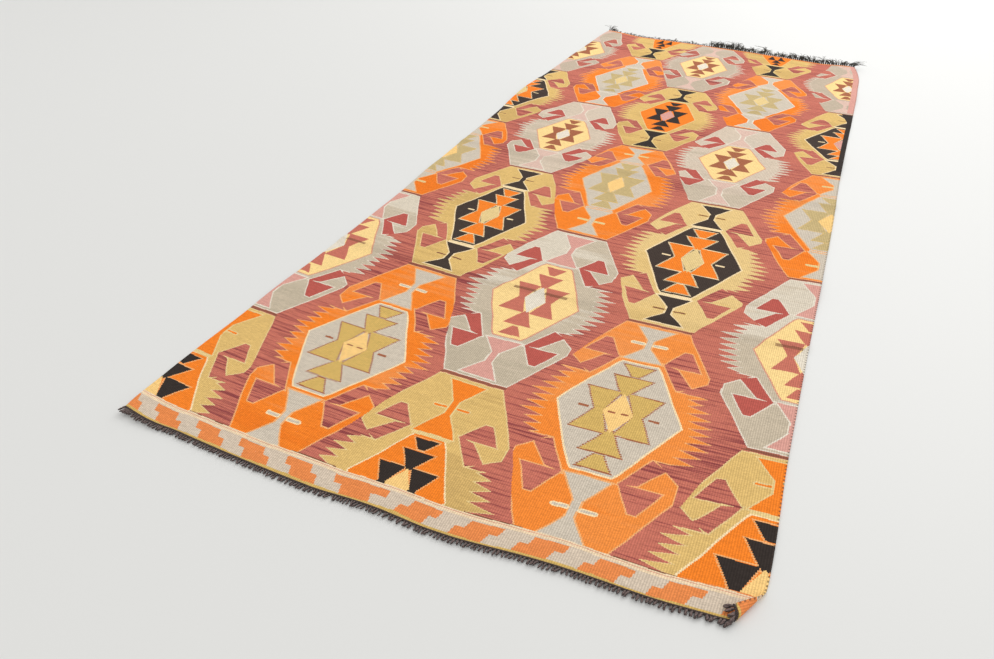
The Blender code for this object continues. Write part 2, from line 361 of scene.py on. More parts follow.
class Net:
    """The nodes of one material."""

    def __init__(self, name):
        self.material = bpy.data.materials.new(name)
        self.material.use_nodes = True
        self.tree = self.material.node_tree
        self.tree.nodes.clear()

    def add(self, kind, settings=None, inputs=None):
        """One node: its type, its settings, and the values or links of its sockets."""
        node = self.tree.nodes.new(kind)
        for name, value in (settings or {}).items():
            if name == "stops":
                self.set_stops(node.color_ramp, value)
            else:
                setattr(node, name, value)
        for key, value in (inputs or {}).items():
            value = value.socket if isinstance(value, Number) else value
            if isinstance(value, bpy.types.NodeSocket):
                self.tree.links.new(value, node.inputs[key])
            else:
                node.inputs[key].default_value = value
        return node

    def set_stops(self, ramp, stops):
        """A stepped ramp from (position, colour) stops."""
        ramp.interpolation = "CONSTANT"
        while len(ramp.elements) < len(stops):
            ramp.elements.new(1.0)
        for element, (position, colour) in zip(ramp.elements, stops):
            element.position, element.color = position, colour

    def math(self, operation, *values):
        node = self.add("ShaderNodeMath", {"operation": operation}, dict(enumerate(values)))
        return Number(self, node.outputs[0])

    def blend(self, share, colour, other, kind="MIX"):
        """One colour mixed with another by a share from 0 to 1."""
        settings = {"data_type": "RGBA", "blend_type": kind}
        inputs = {0: share, 6: colour, 7: other}
        return self.add("ShaderNodeMix", settings, inputs).outputs[2]

    def point(self, x, y, z=0.0):
        return self.add("ShaderNodeCombineXYZ", None, {0: x, 1: y, 2: z}).outputs[0]

    def parts(self, vector):
        node = self.add("ShaderNodeSeparateXYZ", None, {0: vector})
        return [Number(self, socket) for socket in node.outputs]

    def cloud(self, place, waves, start=(0.0, 0.0), detail=2.0, roughness=0.5):
        """Soft noise about 0.5 over (across, row), and its colour for two more such numbers.

        It has so many waves across the rug and so many to a row.
        """
        settings = {"operation": "MULTIPLY_ADD"}
        inputs = {0: self.point(*place), 1: (*waves, 0.0), 2: (*start, 0.0)}
        spread = self.add("ShaderNodeVectorMath", settings, inputs).outputs[0]
        settings = {"noise_dimensions": "2D"}
        inputs = {"Vector": spread, "Scale": 1.0, "Detail": detail, "Roughness": roughness}
        node = self.add("ShaderNodeTexNoise", settings, inputs)
        return Number(self, node.outputs["Fac"]), node.outputs["Color"]

    def dice(self, x, y, z=0.0):
        """Three unrelated numbers from 0 to 1 for each whole-numbered place."""
        settings = {"noise_dimensions": "3D"}
        node = self.add("ShaderNodeTexWhiteNoise", settings, {"Vector": self.point(x, y, z)})
        return self.parts(node.outputs["Color"])

    def finish(self, colour, roughness, height, depth, sheen):
        """A wool surface: colour, roughness and relief vary, the sheen is the same all over."""
        bump = self.add("ShaderNodeBump", None, {"Strength": 1.0, "Distance": depth,
                                                 "Height": height})
        shader = self.add("ShaderNodeBsdfPrincipled", None, {
            "Base Color": colour, "Roughness": roughness, "Normal": bump.outputs[0],
            "Sheen Weight": sheen, "Sheen Roughness": WOOL_SHEEN_ROUGHNESS,
            "Specular IOR Level": WOOL_SPECULAR,
        })
        self.add("ShaderNodeOutputMaterial", None, {"Surface": shader.outputs[0]})
        return self.material


def linear(colour):
    """An sRGB colour as the linear one, with alpha, that shaders take."""
    low = [c / 12.92 if c <= 0.04045 else ((c + 0.055) / 1.055) ** 2.4 for c in colour]
    return (*low, 1.0)


# ------------------------------------------------------------ chart of the motif
# The medallion's chart, in thousandths of the rug's width.  p is the distance
# across from the medallion's axis and q the distance along from its centre.
# The chart is the same left and right and up and down, so one quarter is
# charted, corner by corner and anticlockwise.
COLUMN = 250.0              # from one column of medallions to the next
COLUMNS = 1000.0 / COLUMN   # across the rug
ROW_UP = 275.0              # from one row of medallions to the next
RING_END = 271.0            # half a ring's height
RING_SHOULDER = ((84, 83), (122, 118))   # the beak's upper side
RING_REACH = 122.0                       # how far across the beak goes
RING_TAIL = ((122, 148), (60, RING_END))
HOOK_LEG = ((76, 82), (101, 95), (67, 138), (40, 144))   # ground let into the ring
HOOK_BARB = ((41, 142), (104, 142), (80, 190), (68, 190))
FLANK_FOOT, FLANK_LEAN = 117.0, -0.20    # where the flank's teeth start, and its slope
FLANK_END = 82.0                         # where the flank meets the beak
TOOTH_LENGTH, TOOTH_LEAN = 38.0, -0.10   # and how far they reach
TOOTH_PITCH = 17.5
TOOTH_LEAST, TOOTH_UNEVEN = 0.7, 0.5     # share of that reach: the least, and how much more
TOOTH_STRETCH = 2.2                      # how much wider the outline is at a tooth's tip
NUDGE_ACROSS, NUDGE_ALONG = 7.0, 8.0     # how far a quarter's hook and beak stray
HEXAGON = ((0, 0), (100, 0), (37, 131), (30, 141), (0, 141))
WING = ((25, 0), (38, 0), (62, 52), (6, 52))   # of the star, beside its diamond
LOWER_STEP = ((0, 45), (4, 45), (32, 97), (0, 97))
UPPER_STEP = ((0, 102), (6, 102), (25, 133), (0, 133))
DIAMOND = ((0, 0), (25, 0), (0, 50))
SPECK_MIDDLE, SPECK_HALF = 11.0, 6.0     # on either side of the diamond's middle
SPECK_FLAT = 3.0                         # how much longer than high a speck is
SIDE_MIDDLE, SIDE_HALF, SIDE_THICK = 57.0, 9.0, 2.6      # dash beside the star
HIGH_MIDDLE, HIGH_HALF, HIGH_THICK = 38.0, 27.0, 4.0     # dash across the star's wing
HIGH_UP = 27.0                           # how far above the centre that dash lies
HIGH_STRENGTH = 0.7                      # a dash of thin yarn
NECK_HALF, NECK_THICK = 33.0, 4.0        # the bar between a hexagon and its hourglass
WAIST_FOOT, WAIST_END = 152.0, 262.0     # the hourglass between the hexagon and the ring's end
WAIST_SPREAD, WAIST_DRAWN = 38.0, 4.0    # half its width at its ends is the first less the second
WAIST_PINCH = 5.5                        # and half its width at its middle
BAR_MIDDLE, BAR_HALF, BAR_THICK = 20.0, 14.0, 4.5        # crossbar of the hourglass
BAR_EDGE = 0.45                          # of its half thickness
OUTLINE = 3.0                            # contour of a hexagon or hourglass
FINE_OUTLINE = 2.2                       # contour of a ring
STAR_OUTLINE = 2.8
DOT_PICKS, DOT_GAP = 4.0, 0.2            # a star's outline breaks once in so many picks, for this share
BETWEEN_GAP, BETWEEN_HALF = 1.2, 62.0    # the dark line between one ring's end and the next one's
BETWEEN_STRENGTH = 0.8
HOOK_FIXED, HOOK_SHARE = 0.25, 0.80      # hooks stretch less than the hexagon does

# Fading of a ring: its tone is patches + yarns + the quarter's lot + its rise.
YARN_TONE, LOT_TONE, RISE_TONE = 0.6, 0.5, 0.28
LIGHT_FROM, DARK_FROM, TONE_SLOPE = 1.16, 0.96, 3.0
LIGHT_MOST, DARK_MOST = 0.6, 0.5

# Noise over the cloth: waves across its width and waves a row, and where it starts.
WANDER_WAVES = (9.0, 2.6)
STREAK_WAVES = (4.5, 55.0)
BATCH_WAVES, BATCH_START = (1.6, 2.2), (7.0, 0.0)
PATCH_WAVES, PATCH_START = (5.0, 3.0), (3.0, 0.0)
YARN_WAVES, YARN_START = (1.2, 24.0), (0.0, 5.0)
LENGTH_WAVES = (22.0, 160.0)

# The ground turns from brick to madder where its streaks rise past a level.
STREAK_LEVEL, STREAK_SLOPE, BATCH_SLOPE = 0.51, 6.2, 1.8

# The yarn's shade, of its dye: the least, and how much more from cell to cell and along a pick.
SHADE_LEAST, SHADE_CELL, SHADE_LENGTH = 0.76, 0.24, 0.28
GROOVE_SHADE, RIB_SHADE = 0.84, 0.24     # painted shade: the colour's share in the grooves, and how much more on the ribs
FOLD_PAINTED_SHADE = 0.10                         # painted shade: how much darker a fold's crest is
RIB_RELIEF, PICK_RELIEF, CELL_RELIEF = 0.7, 0.1, 0.10
ROUGHNESS_LEAST, ROUGHNESS_CELL = 0.84, 0.12
WOOL_SPECULAR, WOOL_SHEEN_ROUGHNESS = 0.12, 0.6

# Dark twisted wool turns lighter where its fibre noise and its upward side add up to more than a level:
# random paler fibres, and a painted highlight on the upper side.
PALE_FIBRE, HIGHLIGHT_UPPER, LIGHTENED_LEVEL = 1.4, 0.9, 1.15
FIBRE_DETAIL, FIBRE_NOISE_ROUGHNESS = 3.0, 0.6
FIBRE_ROUGHNESS_LEAST, FIBRE_ROUGHNESS = 0.75, 0.2
FIBRE_RELIEF, FIBRE_SHEEN = 0.0006, 0.2  # relief in metres

# The two sublattices of medallions meet along a line in the ground, from the
# middle of one ring's flank to the other's: across + MEET_LEAN * up = MEET_SUM
# in columns and rows.
MEET_LEAN = 0.392
MEET_SUM = 0.5 + 0.5 * MEET_LEAN

PARTS = (
    "ring", "ring_light", "ring_dark", "ring_edge", "hook",
    "hexagon", "hexagon_edge", "star", "star_edge", "diamond", "speck",
    "neck", "waist", "waist_edge", "bar", "bar_edge", "side_dash", "high_dash",
)
# What a medallion's parts are woven in, in the order of PARTS, or None where a part is left out.
SCHEMES = {
    "amber": ("khaki", None, "olive", "straw", None,
              "orange", "cream", "black", "peach", "yellow", "yellow",
              "straw", "orange", "straw", "orange", "straw", None, None),
    "flame": ("orange", "salmon", "flame", "peach", None,
              "grey", "cream", "gold", "rust", "yellow", "rust",
              "orange", "grey", "peach", "grey", "cream", "rust", None),
    "mist": ("flax", "chalk", "stone", "chalk", "crimson",
             "lemon", "rose", "brick", "lemon", "chalk", "chalk",
             "grey", "pink", "chalk", None, None, None, "umber"),
    "coal": ("khaki", None, "olive", "straw", None,
             "soot", "cream", "orange", "cream", "straw", "straw",
             "cream", "soot", "cream", "umber", "khaki", "cream", None),
}


def like(scheme, **changes):
    """A scheme's dyes with some of its parts changed."""
    return tuple(changes.get(part, dye) for part, dye in zip(PARTS, SCHEMES[scheme]))


SCHEMES["apricot"] = like("flame", ring="tangerine", ring_dark="orange", neck="tangerine")
SCHEMES["ash"] = like("flame", hexagon_edge="chalk", star="fawn", star_edge=None, diamond="straw",
                      speck=None, neck="grey", waist_edge="chalk", bar=None, bar_edge=None,
                      side_dash=None)
SCHEMES["faint"] = like("flame", hexagon_edge="peach", star="fawn", star_edge="gold",
                        speck="yellow", neck="grey", bar="straw", bar_edge="straw",
                        side_dash=None)
SCHEMES["dusk"] = like("mist", ring="sand", ring_light="grey", star="rust", neck="sand",
                       waist="blush", high_dash=None)
SCHEMES["haze"] = like("dusk", ring="taupe", hook=None, neck="taupe", waist_edge=None)
SCHEMES["wheat"] = like("coal", ring="barley", ring_dark="khaki")
SCHEMES["plum"] = like("coal", diamond="pink", speck="pink")
SCHEMES["ember"] = like("plum", hexagon="orange", hexagon_edge="straw", star="black",
                        star_edge="orange", neck="straw", waist="black", waist_edge="straw",
                        side_dash=None)
SCHEMES["spark"] = like("ember", diamond=None, speck=None)

# The medallions of each row, from left to right, each where its weaver put it.
# dyes; the figure's axis and centre, off the even lattice; its height and width, of the chart's
LAYOUT = (
    (("amber", 3, 19, 0.77, 1.00), ("amber", -7, 21, 0.73, 0.80), ("amber", -6, 19, 0.91, 1.00)),
    (("flame", 6, -8, 0.93, 1.03), ("apricot", -10, 12, 0.98, 1.00)),
    (("mist", 0, -7, 0.93, 1.00), ("mist", -5, -8, 0.95, 0.90), ("mist", 0, -5, 0.93, 0.88)),
    (("coal", 10, -3, 1.03, 0.92), ("wheat", -7, -4, 1.05, 1.00)),
    (("faint", 0, 0, 1.00, 1.00), ("faint", -10, 12, 1.00, 0.91), ("faint", -5, 8, 1.00, 1.00)),
    (("dusk", 3, -5, 0.88, 0.82), ("dusk", -17, -5, 0.86, 0.85)),
    (("coal", 0, -3, 0.97, 1.00), ("ember", -6, 4, 0.95, 0.85), ("plum", -8, -12, 1.00, 1.00)),
    (("ash", 13, 0, 1.00, 0.92), ("ash", -20, 0, 1.00, 1.00)),
    (("haze", 0, -5, 0.93, 1.00), ("haze", -17, 3, 0.93, 0.85), ("haze", -29, -6, 0.93, 0.72)),
    (("spark", 20, -17, 0.80, 0.55), ("spark", -32, -17, 0.80, 0.55)),
)
SLOTS_A_ROW = 3
SLOTS = 32.0                # places on a stepped ramp, one for each medallion
SHIFT_RANGE, SHARE_RANGE = 200.0, 2.0    # what a ramp's 0 to 1 stands for
LEFT_OUT = (0.0, 0.0, 0.0, 0.0)          # its colour where a medallion has no such part

# The woven border, in rows from the cloth's first weft: where each line ends.
BORDER_GOLD = 0.012
BORDER_MIDDLE, BORDER_BLOCKS = 0.070, 0.124    # two levels of blocks
BORDER_GREY = 0.130
BORDER_ECRU = 0.160
ECRU_SPLIT = (0.147, 0.151)              # a thin rose line runs in the ecru one
BORDER_END = 0.166
LINE_BETWEEN = (0.42, 0.75)  # the last line shows this many columns from a medallion's axis
LINE_CORAL = 3.60           # and is coral from this column on
BLOCK_MIDDLE = 0.4905       # the blocks are mirrored about this place across
BLOCK_PERIOD = 89.0         # thousandths of the width
BLOCK_START = 18.5          # from that place to the first coral block
BLOCK_STEP = 12.0           # how far the blocks shift at the top level
BLOCK_SLANT = 90.0          # and how far their edges slant, in thousandths a row
BLOCK_SHARE = 0.53          # of the period that is coral
BLOCK_EXTRA = 41.0          # one more coral block, left of the middle at the top level
FAR_STRIP_ROW = 8.962       # the far end's thin coral strip starts here

# The selvedges, in metres and rows.
BLACK_BAND = 0.019          # wide, on the right
BLACK_ROWS = (5.15, 7.0)
WEDGE_ROW, WEDGE = 6.72, 0.028           # it widens by so much from this row on
PINK_BAND, PINK_ROW = 0.027, 7.05
STITCH, STITCH_PITCH = 0.0036, 0.0110    # dark stitches on the right edge
STITCH_SHARE, STITCH_STRENGTH = 0.45, 0.65


def beyond_line(p, q, start, end):
    """Distance outside the line from start to end, with the inside on its left."""
    (p0, q0), (p1, q1) = start, end
    long = math.hypot(p1 - p0, q1 - q0)
    a, b = (q1 - q0) / long, (p0 - p1) / long
    c = a * p0 + b * q0
    if abs(a) < 1e-9:
        return q * b - c
    if abs(b) < 1e-9:
        return p * a - c
    return p * a + (q * b - c)


def quarter_shape(p, q, corners):
    """Distance outside a convex shape with the given corners, and less than 0 inside it.

    It is the largest of the distances outside its sides.  Sides on the two
    mirror lines are left out.
    """
    distance = None
    for start, end in zip(corners, corners[1:] + corners[:1]):
        on_mirror = start[0] == end[0] == 0 or start[1] == end[1] == 0
        if on_mirror:
            continue
        side = beyond_line(p, q, start, end)
        distance = side if distance is None else distance.most(side)
    return distance


def slot_ramp(net, slot, value_of):
    """A stepped ramp over the slots, with four numbers for each medallion of LAYOUT."""
    stops = []
    for row, medallions in enumerate(LAYOUT):
        for k, medallion in enumerate(medallions):
            value = value_of(medallion)
            if not stops or value != stops[-1][1]:
                stops.append(((SLOTS_A_ROW * row + k) / SLOTS, value))
    return net.add("ShaderNodeValToRGB", {"stops": stops}, {"Fac": slot})


def place_in_slot(net, slot):
    """Axis, centre, height and width of the figure in this slot."""
    def value_of(medallion):
        _, axis, centre, height, width = medallion
        return (0.5 + axis / SHIFT_RANGE, 0.5 + centre / SHIFT_RANGE,
                height / SHARE_RANGE, width / SHARE_RANGE)

    ramp = slot_ramp(net, slot, value_of)
    axis, centre, height = net.parts(ramp.outputs["Color"])
    width = Number(net, ramp.outputs["Alpha"])
    return ((axis - 0.5) * SHIFT_RANGE, (centre - 0.5) * SHIFT_RANGE,
            height * SHARE_RANGE, width * SHARE_RANGE)


class Pattern:
    """The woven pattern's colour while it is painted, one yarn over another."""

    def __init__(self, net, dyes, slot, ground):
        self.net, self.dyes, self.slot = net, dyes, slot
        self.colour = self.dye(ground)

    def dye(self, name):
        return linear(getattr(self.dyes, name))

    def paint(self, mask, name):
        """Weaves one dye, by a mask from 0 to 1."""
        self.colour = self.net.blend(mask, self.colour, self.dye(name))

    def part(self, name, mask):
        """Weaves a part of the medallion in this slot, in its dye from a stepped ramp.

        The ramp's alpha is 0 where the medallion leaves the part out.
        """
        place = PARTS.index(name)
        shades = {scheme: self.dye(parts[place]) if parts[place] else LEFT_OUT
                  for scheme, parts in SCHEMES.items()}
        ramp = slot_ramp(self.net, self.slot, lambda medallion: shades[medallion[0]])
        if LEFT_OUT in shades.values():
            mask = mask * Number(self.net, ramp.outputs["Alpha"])
        self.colour = self.net.blend(mask, self.colour, ramp.outputs["Color"])


def weave_pattern(net, sizes, dyes, place, snapped, pick):
    """The woven pattern's colour, painted from the ground up.

    The place (across, row), snapped to half ribs and whole picks, wanders by a
    few millimetres.  u then counts columns of medallions and v rows.
    """
    _, wander = net.cloud(snapped, WANDER_WAVES)
    wander_x, wander_y, _ = net.parts(wander)
    u = (snapped[0] + (wander_x - 0.5) * (sizes.wander / sizes.width)) * COLUMNS
    v = snapped[1] + (wander_y - 0.5) * (sizes.wander / sizes.row_length)

    # The medallion, of either sublattice, that this place belongs to.
    from_u = u - (u * 0.5).nearest() * 2.0
    from_v = v - (v * 0.5).nearest() * 2.0
    odd = (abs(from_u) + abs(from_v) * MEET_LEAN) > MEET_SUM
    column = u - from_u + odd * from_u.sign()
    medallion_row = v - from_v + odd * from_v.sign()
    slot = (medallion_row * SLOTS_A_ROW + (column * 0.5 + 0.25).floor() + 0.5) / SLOTS
    axis, centre, height, width = place_in_slot(net, slot)
    from_axis = (u - column) * COLUMN - axis
    from_middle = (v - medallion_row) * ROW_UP
    right, up = from_axis.sign(), from_middle.sign()
    p, q = abs(from_axis), abs(from_middle)
    above = from_middle - centre
    from_centre = abs(above)
    quarter = column * 2.0 + right, medallion_row * 2.0 + up
    hook_q = from_centre / (height * HOOK_SHARE + HOOK_FIXED)

    pattern = Pattern(net, dyes, slot, ground="brick")
    weave_ground(pattern, snapped, p, q)
    weave_ring(pattern, snapped, (p, q, hook_q, from_middle / ROW_UP), quarter)
    weave_figure(pattern, p / width, from_centre / height, above, pick)
    weave_waist(pattern, p, q, centre * up + height * WAIST_FOOT)
    weave_border(pattern, u, v, from_u)
    weave_selvedge(pattern, *place, sizes)
    return pattern.colour


def weave_ground(pattern, snapped, p, q):
    """Brick red, in streaks where the weaver's yarn changed, and a line between rings."""
    streak, _ = pattern.net.cloud(snapped, STREAK_WAVES, detail=3.0, roughness=0.7)
    batch, _ = pattern.net.cloud(snapped, BATCH_WAVES, BATCH_START, detail=1.0)
    dark = (streak - STREAK_LEVEL) * STREAK_SLOPE + (batch - 0.5) * BATCH_SLOPE
    pattern.paint(dark.held(0.0, 1.0), "madder")
    between = (q > RING_END + BETWEEN_GAP) * (p < BETWEEN_HALF)
    pattern.paint(between * BETWEEN_STRENGTH, "umber")


def weave_ring(pattern, snapped, place, quarter):
    """The ring: its hooked body, its toothed flank, and the ground let into its hooks."""
    net = pattern.net
    p, q, hook_q, rise = place
    nudge_p, nudge_q, lot = net.dice(*quarter)
    near_p = p + (nudge_p - 0.5) * NUDGE_ACROSS
    near_q = hook_q + (nudge_q - 0.5) * NUDGE_ALONG
    tooth = q / TOOTH_PITCH
    uneven = net.dice(tooth.floor(), *quarter)[0]
    length = (q * TOOTH_LEAN + TOOTH_LENGTH) * (uneven * TOOTH_UNEVEN + TOOTH_LEAST)
    tip = q * FLANK_LEAN + FLANK_FOOT + length * tooth.to_and_fro(0.5) * 2.0
    teeth = ((p - tip) / TOOTH_STRETCH).most(near_q - FLANK_END)
    body = beyond_line(near_p, near_q, *RING_SHOULDER).most(near_p - RING_REACH)
    body = body.most(beyond_line(p, q, *RING_TAIL))
    hook = quarter_shape(near_p, near_q, HOOK_LEG).least(quarter_shape(near_p, near_q, HOOK_BARB))
    ring = body.least(teeth).most(-1.0 * hook).most(q - RING_END)
    pattern.part("hook", hook < 0.0)
    pattern.part("ring_edge", ring < 0.0)
    patch, _ = net.cloud(snapped, PATCH_WAVES, PATCH_START)
    yarn, _ = net.cloud(snapped, YARN_WAVES, YARN_START)
    tone = patch + yarn * YARN_TONE + lot * LOT_TONE + rise * RISE_TONE
    light = ((tone - LIGHT_FROM) * TONE_SLOPE).held(0.0, LIGHT_MOST)
    dark = ((DARK_FROM - tone) * TONE_SLOPE).held(0.0, DARK_MOST)
    inside = ring < -FINE_OUTLINE
    pattern.part("ring", inside)
    pattern.part("ring_light", inside * light)
    pattern.part("ring_dark", inside * dark)


def weave_figure(pattern, p, q, above, pick):
    """The hexagon with its star, diamond and dashes."""
    hexagon = quarter_shape(p, q, HEXAGON)
    pattern.part("hexagon_edge", hexagon < OUTLINE)
    pattern.part("hexagon", hexagon < 0.0)
    star = quarter_shape(p, q, WING)
    star = star.least(quarter_shape(p, q, LOWER_STEP))
    star = star.least(quarter_shape(p, q, UPPER_STEP))
    dotted = (pick / DOT_PICKS).fraction() > DOT_GAP
    pattern.part("star_edge", (star < STAR_OUTLINE) * dotted)
    pattern.part("star", star < 0.0)
    pattern.part("diamond", quarter_shape(p, q, DIAMOND) < 0.0)
    pattern.part("speck", abs(p - SPECK_MIDDLE).most(q * SPECK_FLAT) < SPECK_HALF)
    pattern.part("side_dash", (abs(p - SIDE_MIDDLE) < SIDE_HALF) * (q < SIDE_THICK))
    high = (abs(p - HIGH_MIDDLE) < HIGH_HALF) * (abs(above - HIGH_UP) < HIGH_THICK)
    pattern.part("high_dash", high * HIGH_STRENGTH)


def weave_waist(pattern, p, q, foot):
    """The hourglass from the hexagon to the ring's end, stretched to fit, with its crossbar."""
    pattern.part("neck", (p < NECK_HALF) * (abs(q - foot + NECK_THICK) < NECK_THICK))
    half = (WAIST_END - foot) * 0.5
    along = abs(q - foot - half)
    spread = (along / half * WAIST_SPREAD - WAIST_DRAWN).most(WAIST_PINCH)
    waist = (p - spread).most(along - half)
    pattern.part("waist_edge", waist < OUTLINE)
    pattern.part("waist", waist < 0.0)
    beyond_bar = (abs(p - BAR_MIDDLE) - (BAR_HALF - BAR_THICK)).most(0.0)
    bar = beyond_bar * beyond_bar + along * along
    pattern.part("bar_edge", bar < BAR_THICK ** 2)
    pattern.part("bar", bar < (BAR_THICK * BAR_EDGE) ** 2)


def weave_border(pattern, u, v, from_u):
    """Lines and slanting blocks of the near border, and the far end's thin strip."""
    height = v - NEAR_ROW
    line = (abs(from_u) > LINE_BETWEEN[0]) * (abs(from_u) < LINE_BETWEEN[1])
    pattern.paint(line * (height < BORDER_END), "umber")
    pattern.paint((u > LINE_CORAL) * (height < BORDER_END), "coral")
    pattern.paint(height < BORDER_ECRU, "ecru")
    pattern.paint((height > ECRU_SPLIT[0]) * (height < ECRU_SPLIT[1]), "rose")
    pattern.paint(height < BORDER_GREY, "sand")
    aside = abs(u - COLUMNS * BLOCK_MIDDLE) * COLUMN
    top = height > BORDER_MIDDLE
    shift = height * BLOCK_SLANT + top * BLOCK_STEP
    block = ((aside - shift - BLOCK_START) / BLOCK_PERIOD).fraction() < BLOCK_SHARE
    extra = top * (u < COLUMNS * BLOCK_MIDDLE) * (aside < BLOCK_EXTRA)
    pattern.paint(block.most(extra) * (height < BORDER_BLOCKS), "coral")
    pattern.paint(height < BORDER_GOLD, "gold")
    pattern.paint(v > FAR_STRIP_ROW, "coral")


def weave_selvedge(pattern, across, row, sizes):
    """The right selvedge: a black band that ends in a wedge, a pink band, and dark stitches."""
    from_right = (1.0 - across) * sizes.width
    share = ((row - WEDGE_ROW) / (BLACK_ROWS[1] - WEDGE_ROW)).most(0.0)
    black = (from_right < share * WEDGE + BLACK_BAND) * (row > BLACK_ROWS[0])
    pattern.paint(black * (row < BLACK_ROWS[1]), "black")
    pattern.paint((from_right < PINK_BAND) * (row > PINK_ROW), "pink")
    stitch = (row * (sizes.row_length / STITCH_PITCH)).fraction() < STITCH_SHARE
    pattern.paint((from_right < STITCH) * stitch * STITCH_STRENGTH, "soot")


def cloth_material(sizes, dyes):
    """Weft-faced wool: the pattern, heathered yarn, painted shade in the grooves and along the folds'
    crests, and ribs and picks in relief.

    The pattern is read at half ribs and whole picks, so that its edges step as
    woven ones do.  Ribs and picks rise and fall as raised cosines.
    """
    net = Net("woven_wool")
    across, row, _ = net.parts(net.add("ShaderNodeUVMap", {"uv_map": "Weave"}).outputs[0])
    ribs = round(sizes.width / sizes.rib)
    picks = sizes.row_length / sizes.pick
    rib_place, pick_place = across * ribs, row * picks
    rib, pick = rib_place.floor(), pick_place.floor()
    snapped = ((rib_place * 2.0).floor() + 0.5) / (2.0 * ribs), (pick + 0.5) / picks
    colour = weave_pattern(net, sizes, dyes, (across, row), snapped, pick)

    cell_shade, cell_height, cell_roughness = net.dice(rib, pick)
    lengths, _ = net.cloud((across, row), LENGTH_WAVES)
    shade = cell_shade * SHADE_CELL + lengths * SHADE_LENGTH + SHADE_LEAST
    rib_round = (rib_place * (2 * math.pi)).cosine() * -0.5 + 0.5
    # painted shade: the colour darkens in the grooves between ribs and is lightest on their crowns
    shade = shade * (rib_round * RIB_SHADE + GROOVE_SHADE)
    # painted shade along each fold's crest, where the cloth is creased
    for left_row, right_row, _, half_width in FOLDS:
        crest = across * (right_row - left_row) + left_row
        fold_shade = 1.0 - (abs(row - crest) / half_width).least(1.0)
        shade = shade * (1.0 - fold_shade * FOLD_PAINTED_SHADE)
    # the yarn's random tone and the painted shade of grooves and folds, multiplied into the colour
    colour = net.blend(1.0, colour, net.point(shade, shade, shade), "MULTIPLY")
    pick_round = ((pick_place + rib * 0.5) * (2 * math.pi)).cosine() * 0.5 + 0.5
    relief = (rib_round * RIB_RELIEF + pick_round * rib_round * PICK_RELIEF
              + cell_height * CELL_RELIEF)
    roughness = cell_roughness * ROUGHNESS_CELL + ROUGHNESS_LEAST
    return net.finish(colour, roughness, relief, sizes.relief, sheen=0.0)


def yarn_material(name, colour, highlight, scale):
    """Dark twisted wool: fine fibres of random tone, and a painted highlight on the upper side."""
    net = Net(name)
    place = net.add("ShaderNodeTexCoord").outputs
    settings = {"noise_dimensions": "3D"}
    inputs = {"Vector": place["Object"], "Scale": scale, "Detail": FIBRE_DETAIL,
              "Roughness": FIBRE_NOISE_ROUGHNESS}
    fibre = Number(net, net.add("ShaderNodeTexNoise", settings, inputs).outputs["Fac"])
    # painted highlight: the upper side, by the normal's upward part, turns towards the highlight
    # colour; the fibre noise adds random paler fibres
    _, _, upward = net.parts(place["Normal"])
    lightened = (fibre * PALE_FIBRE + upward * HIGHLIGHT_UPPER - LIGHTENED_LEVEL).held(0.0, 1.0)
    mixed = net.blend(lightened, linear(colour), linear(highlight))
    roughness = fibre * FIBRE_ROUGHNESS + FIBRE_ROUGHNESS_LEAST
    return net.finish(mixed, roughness, fibre, FIBRE_RELIEF, sheen=FIBRE_SHEEN)


# ------------------------------------------------------------- property groups
def dye(name, description, colour):
    return FloatVectorProperty(name=name, description=description, default=colour,
                               subtype="COLOR_GAMMA", size=3, min=0.0, max=1.0)


def metres(name, description, default):
    return FloatProperty(name=name, description=description, default=default,
                         min=0.0, precision=4, unit="LENGTH")


